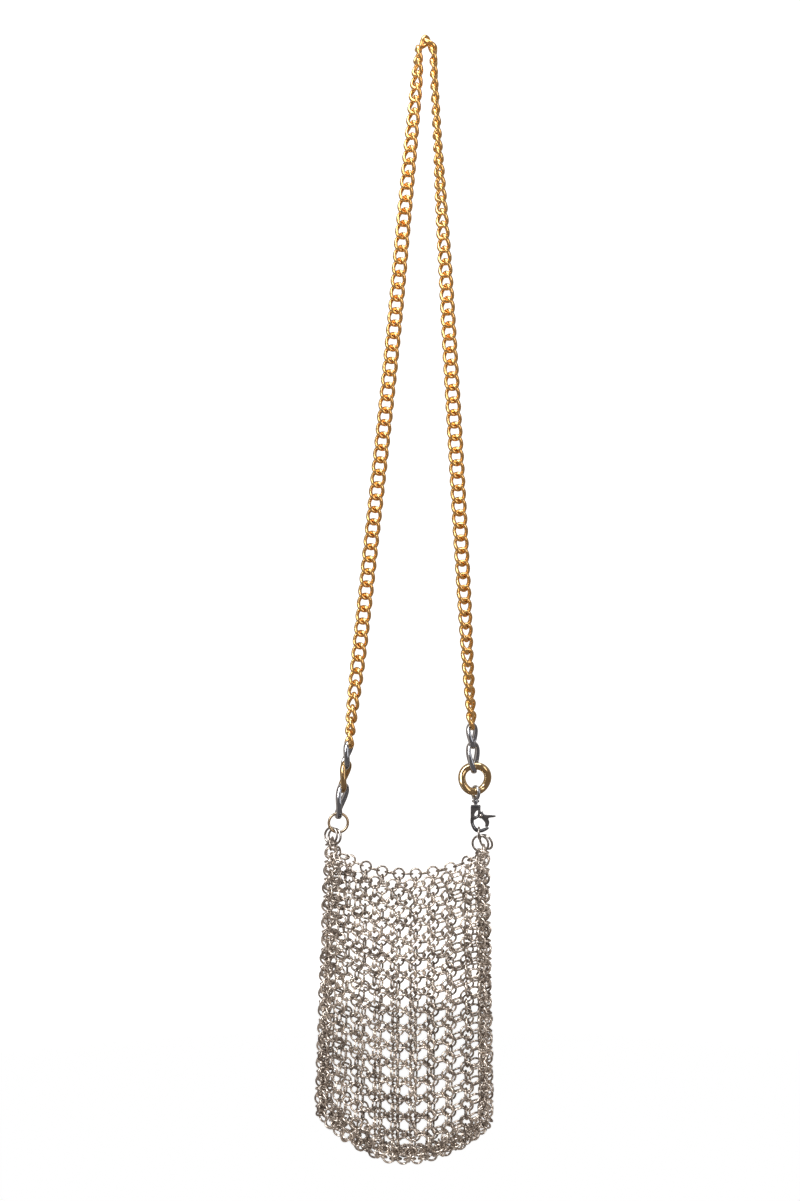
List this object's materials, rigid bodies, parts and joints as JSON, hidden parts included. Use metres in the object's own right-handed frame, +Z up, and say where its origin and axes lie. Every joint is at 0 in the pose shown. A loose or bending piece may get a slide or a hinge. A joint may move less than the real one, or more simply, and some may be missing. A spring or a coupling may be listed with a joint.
{
  "type": "chain shoulder bag",
  "caption": "Open shoulder bag of linked metal rings, hung on a curb chain strap with mixed links and a swivel clasp.",
  "frame": {"origin": "where the bag hangs: the middle of the underside of the strap's top", "axes": "+Z up along the hanging bag, -Y out of its front, +X towards the side with the swivel clasp"},
  "size_m": [0.1216, 0.066, 0.7647],
  "materials": {
    "strap_gold": "polished gold plate",
    "link_gold": "polished gold plate",
    "link_pale_gold": "antique pale gold plate",
    "ring_brass": "pale brass plate",
    "link_silver": "polished silver plate",
    "ring_silver": "polished silver plate",
    "clasp_gunmetal": "dark gunmetal plate",
    "mesh_silver": "warm silver plate"
  },
  "bodies": {
    "bag": {"chain_left": "strap_gold", "chain_right": "strap_gold", "left_link_silver_small": "link_silver", "left_link_gold": "link_gold", "left_link_silver_large": "link_silver", "left_ring": "ring_brass", "left_corner_ring_front": "ring_silver", "left_corner_ring_back": "ring_silver", "right_link_silver_small": "link_silver", "right_link_silver_large": "link_silver", "right_link_gold_round": "link_pale_gold", "clasp_swivel_eye": "ring_silver", "right_clasp_ring": "ring_silver", "right_corner_ring_front": "ring_silver", "right_corner_ring_back": "ring_silver", "front_panel": "mesh_silver", "back_panel": "mesh_silver", "right_gusset": "mesh_silver", "left_gusset": "mesh_silver", "base_panel": "mesh_silver"},
    "clasp_hook": {"clasp_body": "clasp_gunmetal", "clasp_pin": "ring_silver"},
    "clasp_lever": {"clasp_lever": "clasp_gunmetal"}
  },
  "joints": [
    {"name": "clasp_swivel", "type": "hinge", "parent": "bag", "child": "clasp_hook", "pos_m": [0.0339, 0, -0.5201], "axis": [0, 0, 1], "range_deg": [-10, 10]},
    {"name": "lever_pivot", "type": "hinge", "parent": "clasp_hook", "child": "clasp_lever", "pos_m": [0.0376, 0, -0.52712], "axis": [0, 1, 0], "range_deg": [0, 25], "stiffness_Nm_per_rad": 0.005, "springref_deg": -45.84}
  ]
}
